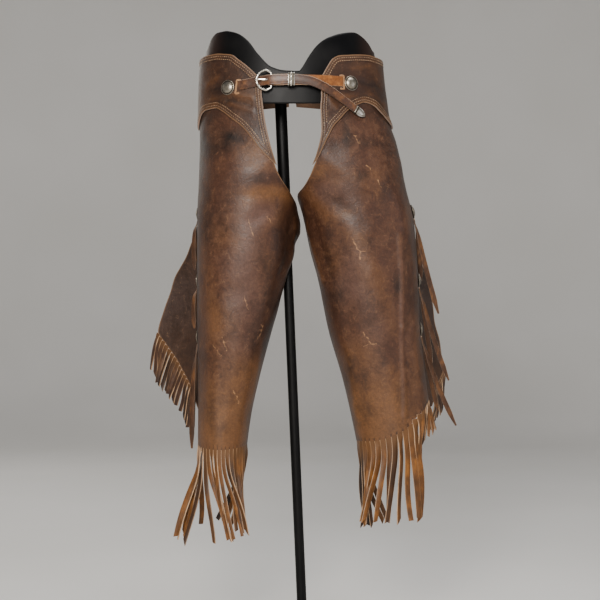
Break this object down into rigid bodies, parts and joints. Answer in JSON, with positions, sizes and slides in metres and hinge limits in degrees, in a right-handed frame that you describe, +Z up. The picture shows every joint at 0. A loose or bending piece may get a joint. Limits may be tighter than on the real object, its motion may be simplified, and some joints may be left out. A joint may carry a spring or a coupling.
{
  "type": "leather chaps on display stand",
  "caption": "Fringed western leather chaps with arched yokes, belt, side wings and tie closures, worn empty by a plain black hip form on a pole and round base.",
  "frame": {"origin": "centre of the base plate's underside", "axes": "+Z up, the chaps' front faces -Y, +X to the viewer's right"},
  "size_m": [0.6181, 0.32, 1.204],
  "materials": {
    "leg_leather": "oiled grain, worn and mottled",
    "yoke_leather": "dark oiled grain with light stitching",
    "fringe_leather": "grain face, pale cut edges",
    "bridle_leather": "smooth waxed",
    "billet_leather": "smooth waxed, worn",
    "aged_silver": "tarnished silver plate",
    "black_satin_form": "satin black",
    "black_steel": "black powder coat"
  },
  "bodies": {
    "root": {"leg_left": "leg_leather", "leg_right": "leg_leather", "wing_left": "leg_leather", "wing_right": "leg_leather", "fringe_hem_left": "fringe_leather", "fringe_hem_right": "fringe_leather", "fringe_wing_left": "fringe_leather", "fringe_wing_right": "fringe_leather", "yoke_left": "yoke_leather", "yoke_right": "yoke_leather", "back_strap": "yoke_leather", "billet": "billet_leather", "billet_tip": "aged_silver", "buckle_strap": "bridle_leather", "buckle_frame": "aged_silver", "buckle_tongue": "aged_silver", "keeper": "aged_silver", "concho_belt_left": "aged_silver", "concho_belt_right": "aged_silver", "concho_left_1": "aged_silver", "concho_left_2": "aged_silver", "concho_left_3": "aged_silver", "concho_right_1": "aged_silver", "concho_right_2": "aged_silver", "concho_right_3": "aged_silver", "tie_left_1_a": "fringe_leather", "tie_left_1_b": "fringe_leather", "tie_left_2_a": "fringe_leather", "tie_left_2_b": "fringe_leather", "tie_left_3_a": "fringe_leather", "tie_left_3_b": "fringe_leather", "tie_right_1_a": "fringe_leather", "tie_right_1_b": "fringe_leather", "tie_right_2_a": "fringe_leather", "tie_right_2_b": "fringe_leather", "tie_right_3_a": "fringe_leather", "tie_right_3_b": "fringe_leather", "leg_strap_left_1": "fringe_leather", "leg_strap_left_2": "fringe_leather", "leg_strap_left_3": "fringe_leather", "leg_strap_right_1": "fringe_leather", "leg_strap_right_2": "fringe_leather", "leg_strap_right_3": "fringe_leather", "form": "black_satin_form", "form_crossbar": "black_steel", "pole_sleeve": "black_steel", "pole": "black_steel", "base": "black_steel", "base_collar": "black_steel"}
  },
  "joints": []
}
